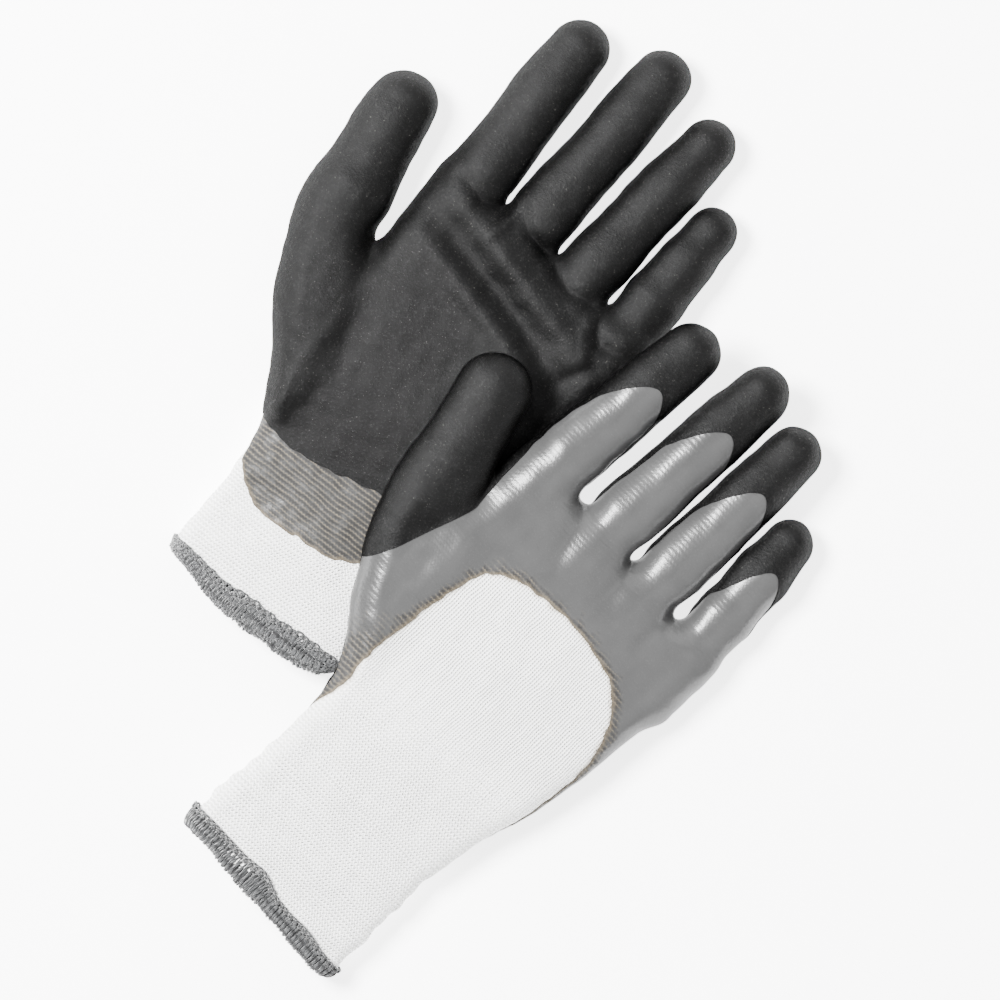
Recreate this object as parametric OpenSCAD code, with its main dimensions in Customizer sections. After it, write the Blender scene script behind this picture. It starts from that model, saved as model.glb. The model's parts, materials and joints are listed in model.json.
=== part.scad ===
// A pair of double-dipped, thermally lined knitted work gloves, lying flat:
// the left glove palm up on the table, the right glove back up, leaning on it.
// Each glove lies along its own +Y (cuff to fingertips) with its thumb at -X.

/* [Fit] */
// Flat width of the knitted cuff
cuff_w = 68; // [60:1:80]
// Thickness of the lying cuff, both walls
cuff_h = 11.5; // [11:0.5:16]
// Thickness of the lying hand, both walls
hand_h = 19; // [17:0.5:21]
// Height of a finger's section over its width
finger_k = 0.82; // [0.75:0.01:0.95]

/* [Layers] */
// Wall of the fine white knitted liner
liner_t = 0.8; // [0.6:0.1:1]
// Wall of the brushed grey lining
lining_t = 1.25; // [0.9:0.05:1.4]
// Film of smooth grey nitrile
base_t = 0.4; // [0.3:0.05:0.5]
// Film of black sandy nitrile
grip_t = 0.6; // [0.4:0.05:0.8]
// Space kept between two layers
layer_gap = 0.1; // [0.05:0.01:0.15]

/* [Cuff] */
// Length of the ribbed cuff
cuff_l = 42; // [38:1:46]
// Width of the elastic yarn bands
elastic_w = 1; // [0.6:0.1:1.5]
// Number of elastic yarn bands in each cuff
elastic_n = 7; // [4:1:8]
// Distance from the ends of the cuff to the first and last band
elastic_y = 4; // [2:1:6]
// How far the overlocked hem stands out of the cuff
hem_out = 1; // [0.6:0.1:1.2]

/* [Dip] */
// Distance from a fingertip to the grey arch on its back
arch_back = 24; // [18:1:28]
// Slope of the black dip line on the back of a finger
arch_slope = 22; // [15:1:35]
// Radius of the white arch on the back of the hand
arch_r = 36; // [30:1:38]
// Distance from the finger roots down to the top of that arch
arch_below = 37; // [30:1:45]
// Where the grey film ends on the palm side of the cuff
base_edge_y = 28; // [20:1:36]
// Where the black film ends on the palm side of the wrist
grip_edge_y = 47; // [44:1:55]

/* [Pair] */
// Turn of the left glove about Z
left_turn = 4; // [0:0.5:8]
// Turn of the right glove about Z
right_turn = -4; // [-8:0.5:0]
// Lean of the right glove about its own length
right_lean = 12; // [11.5:0.1:12.5]
// Gap between two moving pieces
play = 0.4; // [0.3:0.05:0.5]

/* [Hidden] */
NAMES = ["thumb", "index", "middle", "ring", "little"];
THUMB = 0;
SIDES = 20;
DIGIT_SIDES = 16;
SECTION = 2.5;
SMALL = 0.01;
FAR = 400;
$fn = 40;

// Middle of the white arch across the hand, and where the grey leaves the sides
arch_x = 3;
wrist_y = 62;
// Height of the coats' edges along the sides of the hand, over its thickness
back_level = 0.42;
palm_level = 0.45;

// Offsets of each film from the outer face of the white knit, out and in
base_in = layer_gap;
base_out = base_in + base_t;
grip_in = base_out + layer_gap;
grip_out = grip_in + grip_t;
liner_in = -liner_t;
lining_out = liner_in - 2 * layer_gap;
lining_in = lining_out - lining_t;
cuff_in = -0.6 * liner_t;
elastic_out = cuff_in - layer_gap / 2;
elastic_in = lining_out + 2 * layer_gap;
hem_in = lining_in;

// A glove is [palm_up, knuckle_y, hem_l, hand stations, mound stations, digits].
// A hand station is [y, x at the thumb side, x at the little-finger side, thickness].
// A mound station is [inner x, inner y, outer x, outer y, thickness].
// A digit is [root x, root y, turn from +Y towards +X, length, root radius, tip radius].
half_cuff = cuff_w / 2;
LEFT = [
    true, 151, 9,
    [
        [0, 1 - half_cuff, half_cuff - 1, cuff_h],
        [27, 2 - half_cuff, half_cuff - 1, cuff_h + 0.5],
        [cuff_l, 0.5 - half_cuff, half_cuff, cuff_h + 2],
        [52, -35, 35, 0.78 * hand_h],
        [66, -39, 38.5, 0.9 * hand_h],
        [91, -40, 43, hand_h],
        [114, -39, 46, hand_h],
        [135, -37.8, 48.5, 0.97 * hand_h],
        [151, -37.5, 48.8, 0.92 * hand_h]
    ],
    [
        [-35.5, 114, -35.5, 52, 0.9 * hand_h],
        [-38, 114.5, -45.5, 68, 0.92 * hand_h],
        [-41, 116, -59, 88, 0.97 * hand_h],
        [-43.5, 118.5, -66.5, 106, hand_h]
    ],
    [
        [-56.3, 121, -7.2, 41, 12.2, 10.6],
        [-27.3, 151, -0.3, 57.5, 10, 9],
        [-4, 151, 3.1, 65, 9.8, 8.6],
        [18.5, 151, 5.8, 57.5, 9.6, 8.4],
        [39.9, 151, 1.5, 35.5, 8.6, 7.8]
    ]
];
RIGHT = [
    false, 165, 6,
    [
        [0, -half_cuff - 1, half_cuff, cuff_h],
        [22, 0.5 - half_cuff, half_cuff - 1, cuff_h + 0.5],
        [cuff_l, 1 - half_cuff, half_cuff - 1, cuff_h + 1.5],
        [60, -33, 36, 0.74 * hand_h],
        [78, -38.5, 40, 0.88 * hand_h],
        [100, -43, 43.5, hand_h],
        [134, -44, 45.8, hand_h],
        [150, -44.3, 47.6, 0.97 * hand_h],
        [165, -44.4, 48, 0.92 * hand_h]
    ],
    [
        [-39.5, 132, -39.5, 74, 0.9 * hand_h],
        [-42, 133, -48, 86, 0.92 * hand_h],
        [-44, 134.5, -60, 103, 0.97 * hand_h],
        [-45.5, 137, -67, 121, hand_h]
    ],
    [
        [-58.2, 137.5, -16, 36.5, 11.8, 10.4],
        [-34, 165, 4.3, 59.5, 9.9, 9],
        [-6.8, 165, 2.4, 66, 9.8, 8.7],
        [15.8, 165, 0.6, 60.5, 9.4, 8.4],
        [38.7, 165, -3.7, 38.5, 8.7, 7.6]
    ]
];

function palm_up(g) = g[0];
function knuckle_y(g) = g[1];
function hem_l(g) = g[2];
function hand_stations(g) = g[3];
function digit(g, i) = g[5][i];

// A section is [inner point, outer point, half thickness], standing on the table plane
function hand_section(s) = [[s[1], s[0]], [s[2], s[0]], s[3] / 2];
function mound_section(m) = [[m[0], m[1]], [m[2], m[3]], m[4] / 2];
function across(d) = [cos(d[2]), -sin(d[2])];
function thumb_section(d) =
    [[d[0], d[1]] + d[4] * across(d), [d[0], d[1]] - d[4] * across(d), d[4] * finger_k];
function mound_sections(g) =
    concat([for (m = g[4]) mound_section(m)], [thumb_section(digit(g, THUMB))]);

function power(v, e) = sign(v) * pow(abs(v), 2 / e);
function ring(s, o) =
    let (
        half = norm(s[1] - s[0]) / 2 + o,
        along = (s[1] - s[0]) / norm(s[1] - s[0]),
        mid = (s[0] + s[1]) / 2,
        h = s[2] + o
    )
    [for (i = [0 : SIDES - 1])
        let (
            a = 360 * (i + 0.5) / SIDES,
            p = mid + along * half * power(cos(a), SECTION)
        )
        [p[0], p[1], grip_out + s[2] + h * power(sin(a), SECTION)]];

function joined(lists) = [for (l = lists) for (v = l) v];
function strip(a, b, inward, n = SIDES) =
    [for (i = [0 : n - 1])
        let (j = (i + 1) % n)
        each inward
            ? [[a + i, b + i, b + j], [a + i, b + j, a + j]]
            : [[a + i, b + j, b + i], [a + i, a + j, b + j]]];

// A closed tube wall through the sections, between two offsets from the knit's face
module wall(sections, o_out, o_in, turned = false) {
    n = len(sections);
    outer = joined([for (s = sections) ring(s, o_out)]);
    inner = joined([for (s = sections) ring(s, o_in)]);
    base = n * SIDES;
    last = (n - 1) * SIDES;
    faces = joined([
        for (k = [0 : n - 2]) each [
            strip(k * SIDES, (k + 1) * SIDES, turned),
            strip(base + k * SIDES, base + (k + 1) * SIDES, !turned)
        ],
        strip(0, base, !turned),
        strip(last, base + last, turned)
    ]);
    polyhedron(concat(outer, inner), faces, convexity = 6);
}

// A section between two stations at one y, so that a wall can end there
function lerp(a, b, t) = a + (b - a) * t;
function station_at(g, y) =
    let (
        s = hand_stations(g),
        k = max([for (i = [0 : len(s) - 2]) if (s[i][0] <= y) i]),
        t = (y - s[k][0]) / (s[k + 1][0] - s[k][0])
    )
    hand_section(lerp(s[k], s[k + 1], t));
function sections_between(g, y0, y1) =
    concat(
        [station_at(g, y0)],
        [for (s = hand_stations(g)) if (s[0] > y0 + 1 && s[0] < y1 - 1) hand_section(s)],
        [station_at(g, y1)]
    );

// A flat band around the cuff, with the cuff's section at y
module band(g, y, w, o_out, o_in) {
    section = station_at(g, y);
    translate([0, y + w, 0]) rotate([90, 0, 0]) linear_extrude(w) difference() {
        polygon([for (p = ring(section, o_out)) [p[0], p[2]]]);
        polygon([for (p = ring(section, o_in)) [p[0], p[2]]]);
    }
}

// Table side or upper side of a glove, as a big block that meets z0
module half_space(upper, z0) {
    translate([-FAR / 2, -FAR / 2, upper ? z0 : z0 - FAR]) cube(FAR);
}

function window_x(g) = g[4][0][0];
function window_y0(g) = g[4][0][3];
function window_y1(g) = g[4][0][1];
module thumb_window(g) {
    translate([window_x(g) - FAR + play / 2, window_y0(g), -FAR / 2])
        cube([FAR, window_y1(g) - window_y0(g), FAR]);
}

// One layer of the hand from y0 to the knuckles, with its thumb mound
module hand_layer(g, y0, o_out, o_in) {
    difference() {
        wall(sections_between(g, y0, knuckle_y(g)), o_out, o_in);
        thumb_window(g);
    }
    mound_layer(g, o_out, o_in);
}
module mound_layer(g, o_out, o_in) {
    wall(mound_sections(g), o_out, o_in, true);
}

// The uncoated window of white knit on the back of the hand, open to the wrist
module back_window(g) {
    arch_mid = knuckle_y(g) - arch_below - arch_r;
    intersection() {
        half_space(!palm_up(g), grip_out + hand_h * back_level);
        translate([arch_x, 0, -FAR / 2]) linear_extrude(FAR) {
            translate([0, arch_mid]) circle(arch_r);
            translate([-arch_r, 0]) square([2 * arch_r, arch_mid]);
            translate([-FAR / 2, wrist_y - FAR]) square(FAR);
        }
    }
}

// Walls of a digit: an oval tube with a round tip, its open end at the hinge plane
DOME = [0, 35, 65];
function digit_point(d, z, t, r, a) =
    let (p = [d[0], d[1]] + t * [sin(d[2]), cos(d[2])] + r * cos(a) * across(d))
    [p[0], p[1], z + r * finger_k * sin(a)];
function root_shift(i, d, r, a) =
    i == THUMB ? play : (play + r * cos(a) * sin(d[2])) / cos(d[2]);
function digit_rings(d, i, o) =
    let (z = grip_out + d[4] * finger_k, c = d[3] - d[5], angles = digit_angles())
    concat(
        [for (a = angles) digit_point(d, z, root_shift(i, d, d[4] + o, a), d[4] + o, a)],
        [for (e = DOME, a = angles)
            digit_point(d, z, c + (d[5] + o) * sin(e), (d[5] + o) * cos(e), a)],
        [digit_point(d, z, d[3] + o, 0, 0)]
    );
function digit_angles() = [for (k = [0 : DIGIT_SIDES - 1]) 360 * k / DIGIT_SIDES];
function cap(a, tip, n, inward) =
    [for (k = [0 : n - 1]) inward
        ? [a + k, tip, a + (k + 1) % n]
        : [a + k, a + (k + 1) % n, tip]];

module digit_wall(g, i, o_out, o_in) {
    d = digit(g, i);
    n = DIGIT_SIDES;
    rings = len(DOME) + 1;
    base = rings * n + 1;
    faces = joined([
        for (k = [0 : rings - 2]) each [
            strip(k * n, (k + 1) * n, false, n),
            strip(base + k * n, base + (k + 1) * n, true, n)
        ],
        cap((rings - 1) * n, rings * n, n, false),
        cap(base + (rings - 1) * n, base + rings * n, n, true),
        strip(0, base, true, n)
    ]);
    points = concat(digit_rings(d, i, o_out), digit_rings(d, i, o_in));
    polyhedron(points, faces, convexity = 6);
}

// Grey stays bare on the back of a finger, up to the slanting dip line
module bare_back(g, i) {
    d = digit(g, i);
    s = palm_up(g) ? -1 : 1;
    h = d[4] * finger_k;
    translate([d[0], d[1], grip_out + h]) rotate([0, 0, -d[2]]) intersection() {
        half_space(s > 0, 0);
        translate([0, d[3] - arch_back * min(1, d[3] / 50), s * h])
            rotate([-s * (90 - arch_slope), 0, 0])
                translate([-FAR / 2, -FAR, -FAR / 2]) cube(FAR);
    }
}

module liner_hand(g) {
    color("white") hand_layer(g, cuff_l + SMALL, 0, liner_in);
}
module lining_hand(g) {
    color("dimgray") hand_layer(g, SMALL, lining_out, lining_in);
}
module base_coat_hand(g) {
    color("gray") difference() {
        hand_layer(g, base_edge_y, base_out, base_in);
        back_window(g);
    }
}
module grip_coat_hand(g) {
    color("black") intersection() {
        hand_layer(g, grip_edge_y, grip_out, grip_in);
        half_space(palm_up(g), grip_out + hand_h * palm_level);
    }
}
module cuff(g) {
    color("whitesmoke") wall(sections_between(g, 0, cuff_l - SMALL), 0, cuff_in);
}
module cuff_elastic(g) {
    pitch = (cuff_l - 2 * elastic_y - elastic_w) / (elastic_n - 1);
    color("ivory") for (i = [0 : elastic_n - 1])
        band(g, elastic_y + i * pitch, elastic_w, elastic_out, elastic_in);
}
module cuff_hem(g) {
    color("slategray") translate([0, -hem_l(g), 0])
        band(g, 0, hem_l(g) - SMALL, hem_out, hem_in);
}
module liner_stall(g, i) {
    color("white") digit_wall(g, i, 0, liner_in);
}
module lining_stall(g, i) {
    color("dimgray") digit_wall(g, i, lining_out, lining_in);
}
module base_coat_stall(g, i) {
    color("gray") digit_wall(g, i, base_out, base_in);
}
module grip_coat_stall(g, i) {
    color("black") difference() {
        digit_wall(g, i, grip_out, grip_in);
        if (i != THUMB) bare_back(g, i);
    }
}

// Places of the two gloves on the table, about the middle of the pair
left_at = [-20.3, -70, 0];
right_at = [40.9, -138, 8.02];
module place_left() {
    translate(left_at) rotate([0, 0, left_turn]) children();
}
module place_right() {
    translate(right_at) rotate([0, 0, right_turn]) rotate([0, right_lean, 0]) children();
}
module placed(side) {
    if (side == "left") place_left() children();
    else place_right() children();
}

LAYERS = ["liner", "lining", "base_coat", "grip_coat"];
HAND_PARTS = concat(
    [for (l = LAYERS) str("hand_", l)],
    ["cuff", "cuff_elastic", "cuff_hem"]
);
SIDE_PARTS = concat(HAND_PARTS, [for (n = NAMES, l = LAYERS) str(n, "_", l)]);

module part(g, name) {
    if (name == "hand_liner") liner_hand(g);
    if (name == "hand_lining") lining_hand(g);
    if (name == "hand_base_coat") base_coat_hand(g);
    if (name == "hand_grip_coat") grip_coat_hand(g);
    if (name == "cuff") cuff(g);
    if (name == "cuff_elastic") cuff_elastic(g);
    if (name == "cuff_hem") cuff_hem(g);
    for (i = [0 : len(NAMES) - 1]) {
        if (name == str(NAMES[i], "_liner")) liner_stall(g, i);
        if (name == str(NAMES[i], "_lining")) lining_stall(g, i);
        if (name == str(NAMES[i], "_base_coat")) base_coat_stall(g, i);
        if (name == str(NAMES[i], "_grip_coat")) grip_coat_stall(g, i);
    }
}

for (side = ["left", "right"], p = SIDE_PARTS) {
    placed(side) part(side == "left" ? LEFT : RIGHT, p);
}
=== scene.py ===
"""A pair of dipped knitted work gloves: the left one palm up, the right one back up, leaning on it."""

import json
import math

import bpy
import numpy as np
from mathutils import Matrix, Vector


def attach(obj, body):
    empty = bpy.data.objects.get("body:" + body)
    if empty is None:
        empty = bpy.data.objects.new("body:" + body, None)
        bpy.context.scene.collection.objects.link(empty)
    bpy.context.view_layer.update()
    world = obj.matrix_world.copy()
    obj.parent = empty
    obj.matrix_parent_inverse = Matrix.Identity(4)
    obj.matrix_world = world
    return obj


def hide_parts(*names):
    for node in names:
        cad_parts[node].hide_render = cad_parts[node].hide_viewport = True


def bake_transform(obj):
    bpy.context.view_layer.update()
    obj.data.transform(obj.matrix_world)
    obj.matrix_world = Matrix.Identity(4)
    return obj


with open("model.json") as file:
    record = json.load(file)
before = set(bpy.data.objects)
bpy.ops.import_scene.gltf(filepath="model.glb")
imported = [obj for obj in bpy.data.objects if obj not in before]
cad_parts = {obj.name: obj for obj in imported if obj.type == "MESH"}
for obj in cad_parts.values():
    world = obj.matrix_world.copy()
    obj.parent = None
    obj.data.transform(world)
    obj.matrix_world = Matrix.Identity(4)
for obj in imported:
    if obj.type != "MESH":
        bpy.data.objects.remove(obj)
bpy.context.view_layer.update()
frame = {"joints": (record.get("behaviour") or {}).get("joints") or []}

MM = 0.001

# ---- the pair
# Each glove is described in its own frame, in millimetres: +y from cuff to fingertips, the thumb at -x,
# and z up from the table. The outer face of the white knit is the reference that every layer is offset from.
REST = 1.2  # lowest point of the reference face
MOUND = 8.9  # half the height of the thumb's mound
FLAT = 0.82  # height of a finger's section over its width
CUFF_END = 42  # where the cuff's knit passes into the hand's
BEND = 16  # a length along a digit from where its piece begins
THUMB_BACK = 5  # how far before its hinge the thumb's pieces begin
GRID, LINING_GRID = 0.95, 1.9  # cell sizes of the outer surface and of the lining's
GRID_LOW, GRID_HIGH = (-84.0, -13.0, -1.5), (56.0, 236.0, 26.0)  # the space searched for the surface
FLOOR_GAP = 0.00005  # metres that the lowest point stays above the table
NAMES = ["thumb", "index", "middle", "ring", "little"]

# palm_up: which way it lies. knuckles, split: where the fingers' arches and the finger pieces begin.
# hinge: the index finger's hinge. y, x0, x1, thick: the hand's and cuff's sides and thickness along y.
# digits: x and y of the root, turn in degrees, length, radius at the root and at the tip.
GLOVES = {
    "left": {
        "palm_up": True,
        "knuckles": 151,
        "split": 147,
        "hem": 9,
        "hinge": [-27.3, 151, 18.78],
        "y": [0, 27, 42, 52, 66, 91, 114, 135, 151],
        "x0": [-33, -32, -33, -35, -39, -40, -39, -37.8, -37.5],
        "x1": [33, 33, 34, 35, 38.5, 43, 46, 48.5, 48.8],
        "thick": [11.5, 12, 13.2, 14.8, 17.2, 19, 18.4, 16.2, 14.5],
        "roots": [[-60, 148], [-27, 147], [-14.7, 144.5], [5.7, 143], [27.3, 139], [40, 141], [60, 136]],
        "mound": [[-34, 50], [-45, 66], [-58.5, 86], [-66, 104], [-68.3, 118], [-60, 127], [-48, 125],
                  [-44.5, 113], [-38, 106], [-28, 103], [-28, 52]],
        "digits": {
            "thumb": [-56.6, 121, -7.4, 40, 11.6, 9.8],
            "index": [-27.4, 151, -0.3, 57, 9.7, 8.6],
            "middle": [-4, 151, 3.1, 64.6, 9.6, 8.2],
            "ring": [18.4, 151, 5.6, 57, 9.3, 7.9],
            "little": [40, 151, 1.6, 35, 8.5, 7.3],
        },
    },
    "right": {
        "palm_up": False,
        "knuckles": 165,
        "split": 161,
        "hem": 6,
        "hinge": [-34, 165, 18.62],
        "y": [0, 22, 42, 60, 78, 100, 134, 150, 165],
        "x0": [-35, -33.5, -33, -33, -38.5, -43, -44, -44.3, -44.4],
        "x1": [34, 33, 33, 36, 40, 43.5, 45.8, 47.6, 48],
        "thick": [11.5, 12, 13, 14.2, 16.8, 19, 18, 16.2, 14.5],
        "roots": [[-60, 160], [-34, 160], [-17.4, 158], [5.2, 156.5], [25.9, 153.3], [39, 156], [60, 150]],
        "mound": [[-34, 72], [-48, 84], [-59.5, 101], [-66.5, 119], [-70, 134], [-61, 144], [-49, 141],
                  [-45, 136], [-40, 131], [-30, 128], [-30, 72]],
        "digits": {
            "thumb": [-58.2, 137.5, -16, 36.5, 11.8, 10.4],
            "index": [-33.8, 165, 4.3, 59, 10, 8.6],
            "middle": [-6.8, 165, 2.4, 65.2, 9.9, 8.3],
            "ring": [15.8, 165, 0.6, 59.6, 9.5, 8],
            "little": [38.6, 165, -3.7, 38, 8.7, 7.3],
        },
    },
}

# Each layer: name, outer and inner offset from the reference face, the value that bounds it, its slot,
# and the part it replaces. A bounded layer thins out towards its edge.
LAYERS = [
    ("liner", (0.0, -0.8), None, "white_knit", "liner"),
    ("base", (0.5, 0.1), "base", "grey_nitrile", "base_coat"),
    ("grip", (1.2, 0.6), "grip", "black_nitrile", "grip_coat"),
]
LINING_LAYER = [("lining", (-1.0, -2.25), None, "grey_lining", "lining")]


# ---- small tools
def ramp(a, b, v):
    """Nothing at a, one at b, with a soft start and end."""
    t = np.clip((v - a) / (b - a), 0, 1)
    return t * t * (3 - 2 * t)


def soft_min(a, b, k):
    """The smaller of two fields, rounded over k where they meet."""
    h = np.clip(0.5 + 0.5 * (b - a) / k, 0, 1)
    return b + (a - b) * h - k * h * (1 - h)


def soft_max(a, b, k):
    """The larger of two fields, rounded over k where they meet."""
    return -soft_min(-a, -b, k)


def along(v, at, values, soft=5.0):
    """A table read smoothly."""
    total = 0
    for step, share in ((-1.6, 0.12), (-0.8, 0.22), (0, 0.32), (0.8, 0.22), (1.6, 0.12)):
        total = total + share * np.interp(v + step * soft, at, values)
    return total


def noise(x, y, z, size, seed, count=9):
    """Smooth noise of about one, as a sum of waves in seeded directions."""
    rng = np.random.RandomState(seed)
    total = 0
    for _ in range(count):
        d = rng.normal(size=3)
        d *= 2 * math.pi / size * rng.uniform(0.6, 1.5) / np.linalg.norm(d)
        total = total + np.sin(x * d[0] + y * d[1] + z * d[2] + rng.uniform(0, 6.28))
    return total / math.sqrt(count / 2)


def rounded(points, times=3):
    """A closed outline with its corners cut off again and again."""
    p = np.array(points, float)
    for _ in range(times):
        q = np.roll(p, -1, 0)
        p = np.stack([0.75 * p + 0.25 * q, 0.25 * p + 0.75 * q], 1).reshape(-1, 2)
    return p


def inside(outline, x, y):
    """Signed distance to a closed outline, negative inside."""
    best, sign = 1e9, 1.0
    for a, b in zip(outline, np.roll(outline, -1, 0)):
        ex, ey = b - a
        wx, wy = x - a[0], y - a[1]
        t = np.clip((wx * ex + wy * ey) / (ex * ex + ey * ey), 0, 1)
        best = np.minimum(best, (wx - ex * t) ** 2 + (wy - ey * t) ** 2)
        above, below, left = y >= a[1], y < b[1], ex * wy > ey * wx
        flip = (above & below & left) | (~above & ~below & ~left)
        sign = sign * np.where(flip, -1.0, 1.0)
    return sign * np.sqrt(best)


def groove(x, y, points, width):
    """One along a line of points, falling to nothing sideways and at its ends."""
    best = 1e9
    ends = 0
    count = len(points) - 1
    for i, (a, b) in enumerate(zip(points[:-1], points[1:])):
        ex, ey = b[0] - a[0], b[1] - a[1]
        t = np.clip(((x - a[0]) * ex + (y - a[1]) * ey) / (ex * ex + ey * ey), 0, 1)
        d = (x - a[0] - ex * t) ** 2 + (y - a[1] - ey * t) ** 2
        ends = np.where(d < best, (i + t) / count, ends)
        best = np.minimum(best, d)
    return np.exp(-best / width**2) * np.sin(math.pi * np.clip(0.08 + 0.84 * ends, 0, 1)) ** 0.6


# ---- the glove's form
def digit_axis(digit):
    """Root, direction, length and end radii of a digit."""
    x, y, turn, length, r0, r1 = digit
    a = math.radians(turn)
    return np.array([x, y], float), np.array([math.sin(a), math.cos(a)]), length, r0, r1


def digit_place(digit, x, y):
    """Distance along a digit from its root, and sideways from its axis."""
    root, way, _, _, _ = digit_axis(digit)
    dx, dy = x - root[0], y - root[1]
    return dx * way[0] + dy * way[1], dx * way[1] - dy * way[0]


def digit_radius(name, digit, s):
    """Radius along a digit, with the soft swelling between its joints."""
    _, _, length, r0, r1 = digit_axis(digit)
    t = np.clip(s / (length - r1), 0, 1)
    swell = 0.28 * np.cos(t * 3 * math.pi * (0.7 if name == "thumb" else 1.0) + 0.6)
    return r0 + (r1 - r0) * t**1.15 + swell


def digit_form(name, digit, x, y, z, back):
    """Field of one digit, carried on into the hand for a length."""
    _, _, length, _, r1 = digit_axis(digit)
    s, u = digit_place(digit, x, y)
    top = length - r1
    r = digit_radius(name, digit, s)
    inner = np.clip(-s / back, 0, 1)
    r = r * (1 - 0.2 * inner)
    middle = REST + FLAT * r + 1.2 * inner
    over = np.maximum(s - top, 0) + np.minimum(s + back, 0)
    return np.sqrt(over**2 + u**2 + ((z - middle) / FLAT) ** 2) - r


# Folds and pads of the upper face: height, then width and line of a fold, or radii and middle of a pad
CREASES = {
    "left": [
        (1.6, 3.9, [(-34, 123), (-18, 119), (0, 114.5), (18, 109), (34, 101)]),
        (-1.7, 4.3, [(-32, 131), (-16, 127), (2, 122), (20, 116.5), (40, 107)]),
        (2.0, 4.4, [(-27, 139), (-10, 134), (8, 129), (26, 124.5), (39, 117)]),
        (-1.5, 2.6, [(-2, 143), (8, 139.5), (17, 135)]),
        (-1.5, 2.6, [(-31, 145), (-22, 142), (-13.5, 145)]),
        (-1.3, 2.4, [(-9, 148), (-3, 143), (5, 142)]),
        (1.0, 2.0, [(-11, 147), (-12, 140), (-14, 133)]),
        (-1.2, 2.4, [(10, 143), (17, 137), (26, 137)]),
        (0.9, 2.0, [(27, 139), (29, 129), (34, 122)]),
        (-1.3, 2.6, [(28, 136), (35, 129), (46, 131)]),
        (-0.8, 2.4, [(40, 124), (34, 117), (31, 110)]),
        (-1.9, 6.0, [(-43, 113), (-38, 104), (-33, 93), (-30, 78)]),
        (1.8, (14, 20), (-47, 92)),
        (-1.4, (20, 17), (-3, 96)),
        (0.9, (13, 20), (27, 84)),
    ],
    "right": [
        (-0.9, 4.2, [(-17.5, 160), (-16, 148), (-14, 138)]),
        (-0.9, 4.2, [(5.2, 158), (5, 146), (4.5, 137)]),
        (-0.9, 4.2, [(26, 155), (25, 145), (23, 136)]),
        (0.5, (8, 9), (-29, 152)),
        (0.5, (8, 9), (-6, 150)),
        (0.4, (7, 9), (15, 148)),
        (0.4, (7, 9), (35, 144)),
        (-0.9, 4.5, [(-45, 136), (-48, 124), (-52, 110), (-55, 98)]),
        (-0.4, 6.0, [(-30, 84), (-4, 78), (30, 82)]),
    ],
}


def creases(side, x, y):
    """Height added to the upper face by the folds and pads."""
    h = 0.0
    for height, size, place in CREASES[side]:
        if isinstance(size, tuple):
            h = h + height * np.exp(-(((x - place[0]) / size[0]) ** 2 + ((y - place[1]) / size[1]) ** 2))
        else:
            h = h + height * groove(x, y, place, size)
    return h


def form(side, x, y, z, cuff_only=False):
    """Signed field of the reference face of one glove, about millimetres, negative inside."""
    g = GLOVES[side]
    x0, x1 = along(y, g["y"], g["x0"]), along(y, g["y"], g["x1"])
    thick = along(y, g["y"], g["thick"])
    middle, half = (x0 + x1) / 2, (x1 - x0) / 2
    edge = np.abs(x - middle) - half
    roots = np.array(g["roots"], float)
    edge = soft_max(edge, y - along(x, roots[:, 0], roots[:, 1], 3.0), 5)
    across = np.clip((x - middle) / half, -1, 1)
    r = 0.5 * thick * (1 - 0.16 * across**2)
    deep = np.maximum(edge + r, 0)
    field = np.sqrt(deep**2 + (z - REST - r) ** 2) - r

    lift = 0
    if not cuff_only:
        deep = np.maximum(inside(rounded(g["mound"], 2), x, y) + MOUND, 0)
        bump = np.sqrt(deep**2 + (z - REST - MOUND) ** 2) - MOUND
        bump = soft_min(bump, digit_form("thumb", g["digits"]["thumb"], x, y, z, 12), 5)
        field = np.where(y > 34, soft_min(field, bump, 7), field)
        fingers = 1e3
        for name in NAMES[1:]:
            fingers = soft_min(fingers, digit_form(name, g["digits"][name], x, y, z, 34), 1.0)
        field = soft_min(field, fingers, 5.0)
        lift = creases(side, x, y) * ramp(0, 6, z - REST - 0.42 * thick)
    cuff = ramp(60, 30, y)
    wavy = 0.32 * cuff * noise(x * 0.25, y, z * 0.25, 9.0, 3 + len(side))
    free = ramp(REST + 0.3, REST + 3, z)
    knit = 0.22 * noise(x, y, z, 26.0, 11 + len(side)) + 0.07 * noise(x, y, z, 9.0, 23)
    return field - lift - (wavy + knit) * free


def slope(side, p, step=0.35, fine=True, **how):
    """Field and its gradient at points."""
    def moved(by):
        """The field with each coordinate moved in turn."""
        return np.stack([form(side, *(p.T + by * np.eye(3)[i][:, None]), **how) for i in range(3)], 1)

    f = form(side, *p.T, **how)
    if not fine:
        return f, (moved(step) - f[:, None]) / step
    return f, (moved(step) - moved(-step)) / (2 * step)


def settle(side, p, times=3, across=False, **how):
    """Moves points onto the reference face, and gives their normals. Across keeps them at their y."""
    for _ in range(times):
        f, grad = slope(side, p, fine=False, **how)
        if across:
            grad[:, 1] = 0
        size = np.maximum((grad**2).sum(1), 0.05)
        step = (f / size)[:, None] * grad
        long = np.linalg.norm(step, axis=1)[:, None]
        p = p - step * np.minimum(1, 1.2 / np.maximum(long, 1e-9))
    _, grad = slope(side, p, **how)
    return p, grad / np.linalg.norm(grad, axis=1)[:, None]


CORNERS = [(0, 0, 0), (1, 0, 0), (0, 1, 0), (1, 1, 0), (0, 0, 1), (1, 0, 1), (0, 1, 1), (1, 1, 1)]
EDGES = [(a, b) for a in range(8) for b in range(a + 1, 8)
         if sum(abs(i - j) for i, j in zip(CORNERS[a], CORNERS[b])) == 1]


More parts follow.
